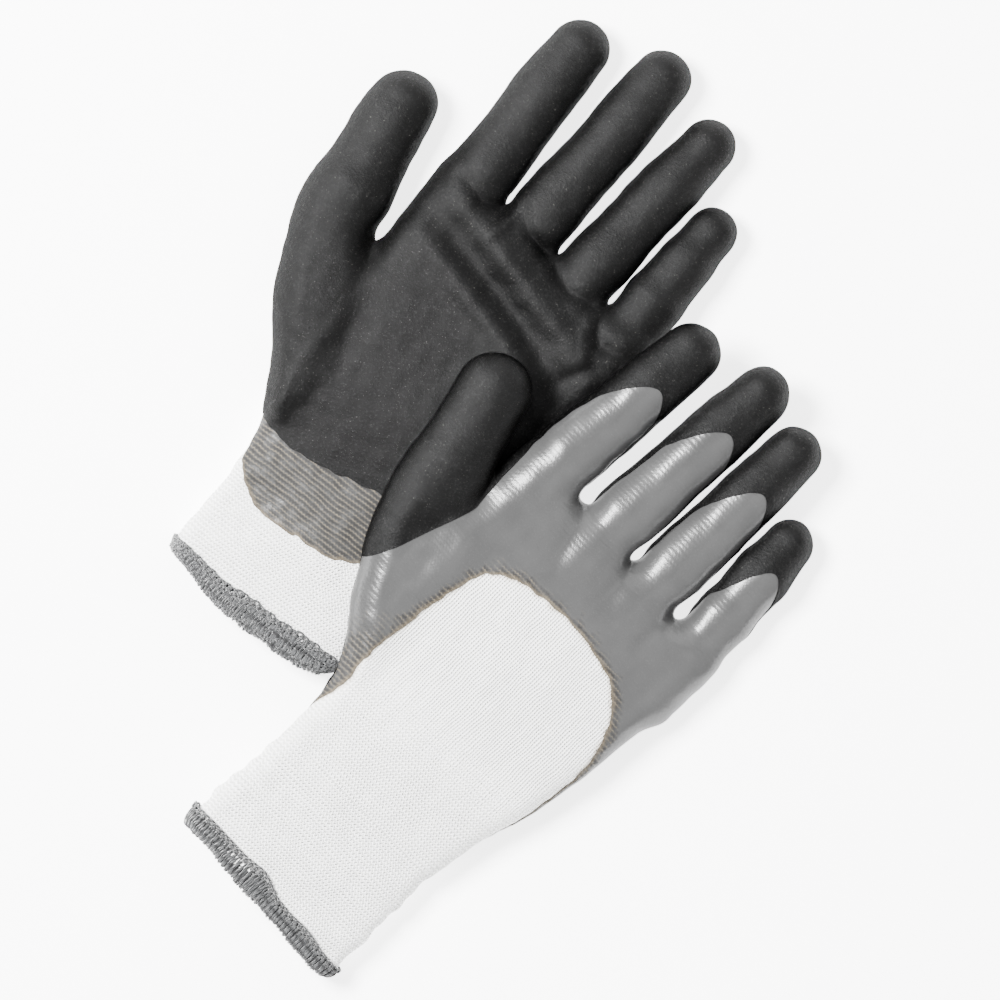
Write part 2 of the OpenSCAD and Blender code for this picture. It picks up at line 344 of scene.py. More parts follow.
def skin(side, grid):
    """The reference face as triangles: one vertex in each grid cell that the surface crosses."""
    low, high = np.array(GRID_LOW), np.array(GRID_HIGH)
    count = ((high - low) / grid).astype(int) + 1
    ax = [low[i] + grid * np.arange(count[i]) for i in range(3)]
    f = form(side, ax[0][:, None, None], ax[1][None, :, None], ax[2][None, None, :])
    f = np.broadcast_to(f, tuple(count)).copy()
    neg = f < 0
    cells = [slice(0, -1), slice(1, None)]
    total = np.zeros(tuple(count - 1) + (3,))
    hits = np.zeros(tuple(count - 1))
    for a, b in EDGES:
        ca, cb = CORNERS[a], CORNERS[b]
        fa = f[cells[ca[0]], cells[ca[1]], cells[ca[2]]]
        fb = f[cells[cb[0]], cells[cb[1]], cells[cb[2]]]
        cross = (fa < 0) != (fb < 0)
        t = np.where(cross, fa / np.where(cross, fa - fb, 1), 0)
        for i in range(3):
            total[..., i] += np.where(cross, ca[i] + (cb[i] - ca[i]) * t, 0)
        hits += cross
    active = hits > 0
    number = -np.ones(active.shape, int)
    number[active] = np.arange(active.sum())
    where = np.argwhere(active)
    p = low + grid * (where + total[active] / hits[active][:, None])
    quads = []
    for axis in range(3):
        u, v = (axis + 1) % 3, (axis + 2) % 3
        here = [slice(None)] * 3
        there = [slice(None)] * 3
        here[axis], there[axis] = slice(0, -1), slice(1, None)
        change = neg[tuple(here)] != neg[tuple(there)]
        at = np.argwhere(change)
        at = at[(at[:, u] > 0) & (at[:, v] > 0) & (at[:, u] < count[u] - 1) & (at[:, v] < count[v] - 1)]
        corner = []
        for du, dv in ((-1, -1), (0, -1), (0, 0), (-1, 0)):
            c = at.copy()
            c[:, u] += du
            c[:, v] += dv
            corner.append(number[c[:, 0], c[:, 1], c[:, 2]])
        q = np.stack(corner, 1)
        flip = ~neg[at[:, 0], at[:, 1], at[:, 2]]
        q[flip] = q[flip][:, ::-1]
        quads.append(q)
    q = np.concatenate(quads)
    p, n = settle(side, p)
    d0 = ((p[q[:, 0]] - p[q[:, 2]]) ** 2).sum(1)
    d1 = ((p[q[:, 1]] - p[q[:, 3]]) ** 2).sum(1)
    a = np.where((d0 < d1)[:, None], q[:, [0, 1, 2]], q[:, [0, 1, 3]])
    b = np.where((d0 < d1)[:, None], q[:, [0, 2, 3]], q[:, [1, 2, 3]])
    return p, n, np.concatenate([a, b])


# ---- cutting and thickening
class Sheet:
    """Triangles with numbers at their corners, which clip() cuts exactly along a level."""

    def __init__(self, tris, **values):
        self.tris = tris
        self.values = values

    def clip(self, level):
        """Keeps the part where level, a number at each vertex, is above nothing."""
        level = np.where(np.abs(level) < 1e-4, 1e-4, level)
        keep = level[self.tris] > 0
        many = keep.sum(1)
        whole = self.tris[many == 3]
        n = len(level)
        cut, pairs = [], []
        for k in (1, 2):
            t = self.tris[many == k]
            odd = keep[many == k] if k == 1 else ~keep[many == k]
            turn = odd.argmax(1)
            rows = np.arange(len(t))
            a, b, c = t[rows, turn], t[rows, (turn + 1) % 3], t[rows, (turn + 2) % 3]
            cut.append((k, a, b, c))
            pairs += [np.stack([a, b], 1), np.stack([a, c], 1)]
        pairs = np.sort(np.concatenate(pairs), 1) if pairs else np.zeros((0, 2), int)
        keys = pairs[:, 0].astype(np.int64) * (n + 1) + pairs[:, 1]
        _, first, back = np.unique(keys, return_index=True, return_inverse=True)
        i, j = pairs[first, 0], pairs[first, 1]
        t = level[i] / (level[i] - level[j])
        values = {}
        for name, v in self.values.items():
            w = t if v.ndim == 1 else t[:, None]
            values[name] = np.concatenate([v, v[i] * (1 - w) + v[j] * w])
        tris = [whole]
        at = 0
        for k, a, b, c in cut:
            m = len(a)
            ab, ac = n + back[at:at + m], n + back[at + m:at + 2 * m]
            at += 2 * m
            if k == 1:
                tris.append(np.stack([a, ab, ac], 1))
            else:
                tris += [np.stack([ab, b, c], 1), np.stack([ab, c, ac], 1)]
        return Sheet(np.concatenate(tris), **values).tidy()

    def tidy(self):
        """Drops the vertices that no triangle uses."""
        used = np.unique(self.tris)
        number = -np.ones(len(next(iter(self.values.values()))), int)
        number[used] = np.arange(len(used))
        return Sheet(number[self.tris], **{k: v[used] for k, v in self.values.items()})


def glove_matrix(side):
    """The glove's own frame in the row's: from its index finger's hinge."""
    joints = frame["joints"]
    rows = joints.values() if isinstance(joints, dict) else joints
    j = next(r for r in rows if r["name"] == side + "_index_fold")
    x = np.array(j["axis"], float)
    x /= np.linalg.norm(x)
    y = np.array([-x[1], x[0], 0])
    y /= np.linalg.norm(y)
    z = np.cross(x, y)
    turn = np.stack([x, y, z], 1)
    return turn, np.array(j["pos_m"], float) - turn @ np.array(GLOVES[side]["hinge"], float) * MM


def to_row(side, p):
    """Local millimetres to the row's metres."""
    turn, origin = PLACE[side]
    return p @ turn.T * MM + origin


def make(name, side, verts, faces, material, normals=None, **values):
    """A mesh object from local millimetres, with the numbers its material reads."""
    me = bpy.data.meshes.new(name)
    at = to_row(side, verts)
    at[:, 2] = np.maximum(at[:, 2], FLOOR_GAP)
    me.vertices.add(len(verts))
    me.vertices.foreach_set("co", at.astype(np.float32).ravel())
    width = faces.shape[1]
    me.loops.add(len(faces) * width)
    me.polygons.add(len(faces))
    me.loops.foreach_set("vertex_index", faces.astype(np.int32).ravel())
    me.polygons.foreach_set("loop_start", (np.arange(len(faces)) * width).astype(np.int32))
    me.polygons.foreach_set("use_smooth", np.ones(len(faces), bool))
    me.update(calc_edges=True)
    for key, v in values.items():
        vector = v.ndim == 2
        a = me.attributes.new(key, "FLOAT_VECTOR" if vector else "FLOAT", "POINT")
        a.data.foreach_set("vector" if vector else "value", v.astype(np.float32).ravel())
    if normals is not None:
        n = normals @ PLACE[side][0].T
        me.normals_split_custom_set_from_vertices(n.astype(np.float32))
    me.materials.append(material)
    o = bpy.data.objects.new(name, me)
    bpy.context.scene.collection.objects.link(o)
    return o


def shell(sheet, outer, inner):
    """Vertices, faces and normals of a sheet thickened between two offsets, closed along its edges."""
    p, n, tris = sheet.values["p"], sheet.values["n"], sheet.tris
    count = len(p)
    e = np.concatenate([tris[:, [0, 1]], tris[:, [1, 2]], tris[:, [2, 0]]])
    key = np.sort(e, 1)
    key = key[:, 0].astype(np.int64) * (count + 1) + key[:, 1]
    _, first, times = np.unique(key, return_index=True, return_counts=True)
    rim = e[first[times == 1]]
    outer = outer if np.ndim(outer) else np.full(count, float(outer))
    inner = inner if np.ndim(inner) else np.full(count, float(inner))
    verts = np.concatenate([p + n * outer[:, None], p + n * inner[:, None]])
    wall = np.concatenate([
        np.stack([rim[:, 1], rim[:, 0], rim[:, 0] + count], 1),
        np.stack([rim[:, 1], rim[:, 0] + count, rim[:, 1] + count], 1),
    ])
    faces = np.concatenate([tris, tris[:, ::-1] + count, wall])
    return verts, faces, np.concatenate([n, -n])


# ---- where each film ends
# The patch of bare knit on the back, the grey film's edge at the wrist, the black one's, and the line
# over the thumb's root where the black film ends. ARCH: how far short of the tip the grey arches end.
WINDOW = {
    "left": [[-60, -30], [-50, 40], [-37, 52], [-34, 63], [-36, 80], [-33, 98], [-27, 110], [-16, 116],
             [2, 117], [20, 115], [31, 109], [38, 96], [41, 80], [42, 64], [52, 50], [60, -30]],
    "right": [[-60, -30], [-50, 44], [-34, 56], [-31.5, 65], [-35, 77], [-33, 98], [-29, 119], [-22, 126.5],
              [-2, 130], [20, 128], [32, 122], [39.5, 108], [41.5, 92], [41, 78], [52, 58], [60, -30]],
}
WRIST = {
    "left": ([-36, -30, -24, -18, -2, 9, 17, 34], [36, 30, 25, 22.5, 23, 24.5, 28.5, 38]),
    "right": ([-36, -32, -28, -20, -8, 6, 18, 28, 32, 36], [64, 50, 38, 28, 24, 24, 27, 36, 46, 60]),
}
PALM = {
    "left": ([-44, -35.6, -31.7, -21.4, -8.9, 0, 8.5, 22, 36], [55, 49, 46, 44, 46, 48, 50.5, 52, 54]),
    "right": ([-44, -36, -30, -20, -8, 2, 12, 22, 36], [66, 60, 57, 55, 56, 57, 59, 61, 64]),
}
THUMB_LINE = {"left": ((-55, 84), (-42, 114)), "right": ((-56.1, 97.9), (-43.6, 134.3))}
ARCH = 24


def film_edges(side, p, n):
    """How far inside the grey and the black film each point is, in millimetres, and how thin the grey is."""
    g = GLOVES[side]
    heel = g["y"][4]
    x, y, z = p.T
    up = 1 if g["palm_up"] else -1
    thick = along(y, g["y"], g["thick"])
    high = up * (2 * np.clip((z - REST) / thick, 0, 1) - 1)
    backness = ramp(0.55, -0.55, 0.6 * high + 0.4 * up * n[:, 2])
    rag = 0.6 * noise(x, y, z, 4.5, 41) + 0.3 * noise(x, y, z, 15.0, 43)
    window = inside(rounded(WINDOW[side], 2), x, y) + 0.35 * rag
    wrist = y - along(x, *WRIST[side], 2.0) + 0.5 * rag
    base = window * backness + wrist * (1 - backness)
    base = np.where(y > g["knuckles"] - 12, 40, base)
    low = ramp(heel + 4, heel - 12, y)
    thin = np.maximum(ramp(7, -2, base) * 0.9, low * ramp(0.9, 0.3, backness) * 0.72)
    beside = ramp(22, -2, base) * ramp(heel + 30, heel - 4, y) * ramp(-10, -24, x) * 0.8
    thin = np.maximum(thin, beside)

    # black on the hand: the palm side, up to a line along the sides, and the whole thumb
    sides = (high + (0.15 if up > 0 else -0.35)) * 9 + 0.3 * rag
    palm = np.minimum(y - along(x, *PALM[side], 2.0) + 0.4 * rag, sides)
    a, b = (np.array(v, float) for v in THUMB_LINE[side])
    way = (b - a) / np.linalg.norm(b - a)
    line = (x - a[0]) * -way[1] + (y - a[1]) * way[0]
    line = np.minimum(line, np.where(y > b[1] - 1, b[0] - 0.4 - x, 20))
    grip = soft_max(palm, np.where(y > 70, line, -9), 1.0)

    # black on the fingers: all of it but a pointed arch on the back
    for name in NAMES[1:]:
        d = g["digits"][name]
        s, u = digit_place(d, x, y)
        length = d[3]
        r = digit_radius(name, d, s)
        aside = np.clip(np.abs(u - 1.4) / r, 0, 1.25)
        top = length - (17 if name == "little" else ARCH)
        bound = top - 14 * aside**2
        steep = 28 * aside / r
        arch = (s - bound) / np.sqrt(1 + steep**2) + 0.1 * rag
        tall = np.clip((z - REST - FLAT * r) / (FLAT * r), -1, 1)
        face = (up * tall + 0.12 + 0.15 * ramp(0, 20, s)) * 8
        black = soft_max(arch, face, 0.8)
        mine = (np.abs(u) < r + 2.5) & (s > -12)
        blend = ramp(-10, 2, s)
        grip = np.where(mine, grip * (1 - blend) + black * blend, grip)
    return base, grip, thin


# ---- materials
class Nodes:
    """A material's node tree, built with short calls. Each call gives an output to use in the next."""

    def __init__(self, name):
        self.material = bpy.data.materials.new(name)
        self.material.use_nodes = True
        self.tree = self.material.node_tree
        self.tree.nodes.clear()

    def new(self, kind, inputs=None, **settings):
        """A node, with its inputs linked or set."""
        node = self.tree.nodes.new(kind)
        for k, v in settings.items():
            setattr(node, k, v)
        for k, v in (inputs or {}).items():
            socket = node.inputs[k]
            if hasattr(v, "is_output"):
                self.tree.links.new(v, socket)
            else:
                socket.default_value = v
        return node

    def math(self, operation, a, b=0.0, c=0.0):
        return self.new("ShaderNodeMath", {0: a, 1: b, 2: c}, operation=operation).outputs[0]

    def times(self, a, b):
        return self.math("MULTIPLY", a, b)

    def plus(self, a, b):
        return self.math("ADD", a, b)

    def span(self, value, low, high, to_low=0.0, to_high=1.0):
        """A value between low and high, softly spread over another range."""
        node = self.new("ShaderNodeMapRange", {"Value": value, "From Min": low, "From Max": high,
                                               "To Min": to_low, "To Max": to_high},
                        interpolation_type="SMOOTHSTEP")
        return node.outputs["Result"]

    def read(self, name, vector=False):
        node = self.new("ShaderNodeAttribute", attribute_name=name)
        return node.outputs["Vector" if vector else "Fac"]

    def parts(self, vector):
        node = self.new("ShaderNodeSeparateXYZ", {0: vector})
        return node.outputs[0], node.outputs[1], node.outputs[2]

    def grain(self, vector, scale, detail=3.0, rough=0.55, stretch=None):
        """Noise, scale being its cells to the millimetre."""
        if stretch:
            scaled = self.new("ShaderNodeVectorMath", {0: vector, 1: stretch}, operation="MULTIPLY")
            vector = scaled.outputs[0]
        node = self.new("ShaderNodeTexNoise", {"Vector": vector, "Scale": scale, "Detail": detail,
                                               "Roughness": rough})
        return node.outputs["Fac"]

    def mix(self, share, a, b):
        """A colour between a and b."""
        node = self.new("ShaderNodeMix", data_type="RGBA", blend_type="MIX")
        for i, v in ((0, share), (6, a), (7, b)):
            if hasattr(v, "is_output"):
                self.tree.links.new(v, node.inputs[i])
            else:
                node.inputs[i].default_value = v
        return node.outputs[2]

    def bump(self, height, distance):
        node = self.new("ShaderNodeBump", {"Height": height, "Distance": distance, "Strength": 1.0})
        return node.outputs["Normal"]

    def gloss(self, face_on, edge_on):
        """Strength of the gloss, less where the surface turns away from the viewer."""
        facing = self.new("ShaderNodeLayerWeight", {"Blend": 0.5}).outputs["Facing"]
        return self.span(facing, 0.1, 0.7, face_on, edge_on)

    def done(self, **inputs):
        """The shader, with the given inputs, and the finished material."""
        names = {k.replace("_", " "): v for k, v in inputs.items()}
        shader = self.new("ShaderNodeBsdfPrincipled", names)
        out = self.new("ShaderNodeOutputMaterial")
        self.tree.links.new(shader.outputs[0], out.inputs["Surface"])
        return self.material


def colour(r, g, b):
    """An sRGB colour of 0 to 255 as the linear one that Blender takes."""
    v = [c / 255 for c in (r, g, b)]
    return tuple(c / 12.92 if c <= 0.04045 else ((c + 0.055) / 1.055) ** 2.4 for c in v) + (1.0,)


def knit_height(m, lay, wale, course, lean=0.9):
    """Height of plain knitting along its courses and across its wales, each from nothing to one."""
    x, y, _ = m.parts(lay)
    wobble = m.times(m.math("SUBTRACT", m.grain(lay, 0.12, 2.0), 0.5), 1.6)
    x = m.plus(x, wobble)
    y = m.plus(y, m.times(m.math("SUBTRACT", m.grain(lay, 0.09, 2.0), 0.5), 2.2))
    u = m.math("DIVIDE", x, wale)
    leg = m.math("ABSOLUTE", m.math("SUBTRACT", m.math("FRACT", u), 0.5))
    shifted = m.math("MULTIPLY_ADD", leg, lean, m.math("DIVIDE", y, course))
    rows = m.math("MULTIPLY_ADD", m.math("SINE", m.times(shifted, 2 * math.pi)), 0.5, 0.5)
    column = m.math("MULTIPLY_ADD", m.math("COSINE", m.times(u, 2 * math.pi)), -0.5, 0.5)
    return rows, column


def white_knit():
    """Bare white knit: coarse courses at the cuff, fine ones on the hand, painted shade in its grooves, and a
    stain along the film.
    """
    m = Nodes("white_knit")
    lay = m.read("lay", True)
    _, y, _ = m.parts(lay)
    rows, column = knit_height(m, lay, 1.25, 1.42)
    fine_rows, fine_column = knit_height(m, lay, 1.0, 0.95)
    hand = m.span(y, 56, 92)
    height = m.math("MULTIPLY_ADD", column, 0.35, rows)
    fine = m.math("MULTIPLY_ADD", fine_column, 0.8, m.times(fine_rows, 0.55))
    coarse = m.times(height, m.math("SUBTRACT", 1.0, hand))
    height = m.plus(coarse, m.times(fine, hand))
    fuzz = m.grain(lay, 4.0, 4.0, 0.7)
    fibre = m.grain(lay, 1.3, 3.0, 0.6, (0.6, 2.5, 1.0))
    total = m.plus(height, m.times(fuzz, 0.5))
    total = m.plus(total, m.times(fibre, 0.4))
    # painted shade: the knit's low grooves are coloured darker than its loops, standing in for the shade that
    # falls in them
    deep = m.span(height, 0.25, 0.95)
    base = m.mix(deep, colour(214, 214, 211), colour(254, 254, 253))
    cloud = m.span(m.grain(lay, 0.07, 3.0), 0.35, 0.7)
    base = m.mix(m.times(cloud, 0.25), base, colour(236, 236, 234))
    edge = m.read("edge")
    speck = m.grain(lay, 1.1, 3.0, 0.7)
    reach = m.math("MULTIPLY_ADD", speck, 3.4, -1.3)
    stain = m.span(m.plus(edge, reach), -1.0, 0.6)
    base = m.mix(m.times(stain, 0.75), base, colour(168, 158, 142))
    normal = m.bump(total, 0.34 * MM)
    return m.done(Base_Color=base, Roughness=0.88, Sheen_Weight=0.25, Sheen_Roughness=0.5,
                  Specular_IOR_Level=0.25, Normal=normal)


def grey_nitrile():
    """Satin grey film, through which the knit shows where it is thin."""
    m = Nodes("grey_nitrile")
    lay = m.read("lay", True)
    edge = m.read("edge")
    thin = m.read("thin")
    rows, column = knit_height(m, lay, 1.15, 1.6, 0.3)
    patch = m.grain(lay, 0.28, 3.0, 0.6)
    speck = m.grain(lay, 1.7, 3.0, 0.7)
    broad = m.grain(lay, 0.07, 2.0)
    uneven = m.math("MULTIPLY_ADD", patch, 1.2, -0.6)
    open_knit = m.span(m.plus(thin, uneven), 0.15, 1.0)
    base = m.mix(m.span(broad, 0.3, 0.7), colour(53, 53, 53), colour(58, 58, 58))
    base = m.mix(m.times(m.span(speck, 0.55, 0.8), 0.35), base, colour(82, 82, 82))
    base = m.mix(m.times(m.span(speck, 0.45, 0.25), 0.3), base, colour(44, 44, 43))
    # where the film is thin the knit comes through: darker and brownish all over, tan on the loops, and painted
    # shade darkening the grooves between the courses
    # painted shade in the knit's grooves between courses, with a brownish tint
    groove_shade = m.times(open_knit, m.span(rows, 0.5, 0.05))
    base = m.mix(m.times(open_knit, 0.45), base, colour(34, 33, 31))
    base = m.mix(m.times(groove_shade, 0.7), base, colour(30, 28, 26))
    loops = m.times(m.span(rows, 0.72, 0.97), m.span(column, 0.0, 0.7, 0.55, 1.0))
    loops = m.times(m.times(loops, open_knit), m.span(speck, 0.3, 0.6, 0.35, 1.0))
    base = m.mix(m.times(loops, 0.62), base, colour(116, 106, 88))
    brim = m.span(m.plus(edge, m.math("MULTIPLY_ADD", speck, 2.4, -1.2)), 1.5, 0.2)
    base = m.mix(m.times(brim, 0.4), base, colour(104, 93, 75))
    # heights in millimetres
    smooth = m.times(m.grain(lay, 0.1, 1.0, 0.4), 0.1)
    ripple = m.times(m.grain(lay, 0.9, 2.0, 0.6, (0.6, 1.5, 1.0)), 0.07)
    courses = m.times(rows, m.span(open_knit, 0.0, 1.0, 0.025, 0.13))
    height = m.plus(m.plus(smooth, ripple), courses)
    height = m.plus(height, m.times(speck, 0.012))
    rough = m.plus(m.span(broad, 0.2, 0.8, 0.28, 0.32), m.times(open_knit, 0.34))
    normal = m.bump(height, MM)
    gloss = m.times(m.gloss(0.45, 0.12), m.span(open_knit, 0.0, 0.8, 1.0, 0.3))
    return m.done(Base_Color=base, Roughness=rough, Specular_IOR_Level=gloss, Normal=normal)


def black_nitrile():
    """Black film with a sandy face and painted glints."""
    m = Nodes("black_nitrile")
    lay = m.read("lay", True)
    sand = m.grain(lay, 1.25, 4.0, 0.75)
    fine = m.grain(lay, 3.0, 2.0, 0.6)
    broad = m.grain(lay, 0.06, 3.0)
    base = m.mix(m.span(broad, 0.3, 0.7), colour(3, 3, 3), colour(5, 5, 5))
    base = m.mix(m.times(m.span(sand, 0.52, 0.7), 0.8), base, colour(26, 26, 26))
    # painted glints: small light specks in the colour stand in for sparkles of reflected light
    painted_glint = m.grain(lay, 2.1, 1.0, 0.5)
    painted_glint_dot = m.span(painted_glint, 0.71, 0.77)
    base = m.mix(m.times(painted_glint_dot, 0.5), base, colour(78, 77, 74))
    # heights in millimetres
    height = m.plus(m.times(sand, 0.27), m.times(fine, 0.06))
    height = m.plus(height, m.times(m.grain(lay, 0.13, 1.0), 0.1))
    rough = m.span(sand, 0.3, 0.7, 0.52, 0.4)
    normal = m.bump(height, MM)
    return m.done(Base_Color=base, Roughness=rough, Specular_IOR_Level=m.gloss(0.11, 0.01), Normal=normal)


def grey_lining():
    """Brushed terry lining."""
    m = Nodes("grey_lining")
    lay = m.read("lay", True)
    loop = m.new("ShaderNodeTexVoronoi", {"Vector": lay, "Scale": 0.95}, feature="F1")
    tuft = m.grain(lay, 2.2, 4.0, 0.7)
    height = m.plus(m.span(loop.outputs["Distance"], 0.75, 0.0), m.times(tuft, 0.7))
    base = m.mix(m.span(height, 0.4, 1.4), colour(82, 84, 87), colour(150, 152, 155))
    normal = m.bump(height, 0.5 * MM)
    return m.done(Base_Color=base, Roughness=0.95, Sheen_Weight=0.5, Sheen_Roughness=0.45,
                  Specular_IOR_Level=0.2, Normal=normal)


def yarn(name, dark, light):
    """Fuzzy twisted yarn."""
    m = Nodes(name)
    lay = m.read("lay", True)
    twist = m.read("twist")
    ply = m.math("MULTIPLY_ADD", m.math("SINE", m.times(twist, 2 * math.pi)), 0.5, 0.5)
    fuzz = m.grain(lay, 3.5, 4.0, 0.75)
    height = m.plus(ply, m.times(fuzz, 0.9))
    base = m.mix(m.span(height, 0.3, 1.5), dark, light)
    normal = m.bump(height, 0.22 * MM)
    return m.done(Base_Color=base, Roughness=0.92, Sheen_Weight=0.45, Sheen_Roughness=0.5,
                  Specular_IOR_Level=0.2, Normal=normal)


def floor_material():
    """Pale paper, lit from behind as on a photographer's table."""
    m = Nodes("floor_paper")
    at = m.new("ShaderNodeTexCoord").outputs["Object"]
    fine = m.grain(at, 60.0, 4.0)
    base = m.mix(m.times(fine, 0.2), colour(253, 253, 253), colour(249, 249, 249))
    return m.done(Base_Color=base, Roughness=0.9, Specular_IOR_Level=0.1, Emission_Color=(1.0, 1.0, 1.0, 1.0),
                  Emission_Strength=3.6)


# ---- cuffs, bands and hems
def cuff_ring(side, y, count):
    """Points round one section of the cuff on the reference face, with their normals."""
    g = GLOVES[side]
    y = np.atleast_1d(y)
    x0, x1 = along(y, g["y"], g["x0"]), along(y, g["y"], g["x1"])
    thick = along(y, g["y"], g["thick"])
    t = 2 * math.pi * np.arange(count) / count
    t = t - 0.30 * np.sin(2 * t)
    c, s = np.cos(t), np.sin(t)
    half = ((x1 - x0) / 2)[:, None]
    px = ((x0 + x1) / 2)[:, None] + half * np.sign(c) * np.abs(c) ** 0.8
    pz = (REST + thick / 2)[:, None] + (thick / 2)[:, None] * np.sign(s) * np.abs(s) ** 0.8
    p = np.stack([px, np.broadcast_to(y[:, None], px.shape), pz], 2).reshape(-1, 3)
    return settle(side, p, 4, across=True, cuff_only=True)


def grid_faces(rows, columns, start=0):
    """Quads between rows of vertices that each close on themselves."""
    i, j = np.meshgrid(np.arange(rows - 1), np.arange(columns), indexing="ij")
    a = i * columns + j
    b = i * columns + (j + 1) % columns
    return np.stack([a, b, b + columns, a + columns], -1).reshape(-1, 4) + start


def band(side, ys, count, outer, inner):
    """A closed band round the cuff between two offsets. Offsets are numbers or one for each point."""
    p, n = cuff_ring(side, ys, count)
    rows = len(ys)
    outer = np.broadcast_to(outer, (len(p),))
    inner = np.broadcast_to(inner, (len(p),))
    verts = np.concatenate([p + n * outer[:, None], p + n * inner[:, None]])
    face = grid_faces(rows, count)
    other = grid_faces(rows, count, len(p))[:, ::-1]
    j = np.arange(count)
    k = (j + 1) % count
    last = (rows - 1) * count
    low = np.stack([k, j, j + len(p), k + len(p)], 1)
    high = np.stack([j + last, k + last, k + last + len(p), j + last + len(p)], 1)
    return verts, np.concatenate([face, other, low, high])


def arc_length(p, rows, count):
    """Length round each row, up to each of its points."""
    q = p.reshape(rows, count, 3)
    step = np.linalg.norm(np.roll(q, -1, 1) - q, axis=2)
    return (np.cumsum(step, 1) - step).reshape(-1)


def ring_faces(n, sides):
    """Quads over a grid of vertices that closes on itself both ways."""
    i, j = np.meshgrid(np.arange(n), np.arange(sides), indexing="ij")
    k, l = (i + 1) % n, (j + 1) % sides
    return np.stack([i * sides + j, k * sides + j, k * sides + l, i * sides + l], -1).reshape(-1, 4)


def tube(path, radius, sides=6):
    """A thin closed tube along a closed path: its vertices, faces and the way round it."""
    n = len(path)
    ahead = np.roll(path, -1, 0) - np.roll(path, 1, 0)
    ahead /= np.linalg.norm(ahead, axis=1)[:, None]
    centre = path.mean(0)
    out = path - centre
    out -= (out * ahead).sum(1)[:, None] * ahead
    out /= np.maximum(np.linalg.norm(out, axis=1), 1e-9)[:, None]
    side_way = np.cross(ahead, out)
    a = 2 * math.pi * np.arange(sides) / sides
    radius = np.broadcast_to(radius, (n,))
    verts = path[:, None] + radius[:, None, None] * (
        out[:, None] * np.cos(a)[None, :, None] + side_way[:, None] * np.sin(a)[None, :, None])
    around = np.broadcast_to(np.arange(sides) / sides, (n, sides)).reshape(-1)
    return verts.reshape(-1, 3), ring_faces(n, sides)[:, ::-1], around


# Upper and lower edge of each hem across the cuff, as (x, y)
HEM = {
    "left": (([-33, -23, -11, 3, 17, 33], [0.6, -1.0, -1.8, -1.0, -0.6, 0.8]),
             ([-33, -24, -10, 5, 22, 29, 33], [-3.4, -6.0, -9.0, -9.7, -8.3, -6.5, -2.6])),
    "right": (([-35, -23, -7, 2, 13, 25, 34], [5.6, 5.0, 5.6, 3.2, 2.5, 1.3, 0.9]),
              ([-35, -20, 4, 16, 31, 34], [-0.8, -1.6, -3.0, -3.5, -4.4, -3.6])),
}


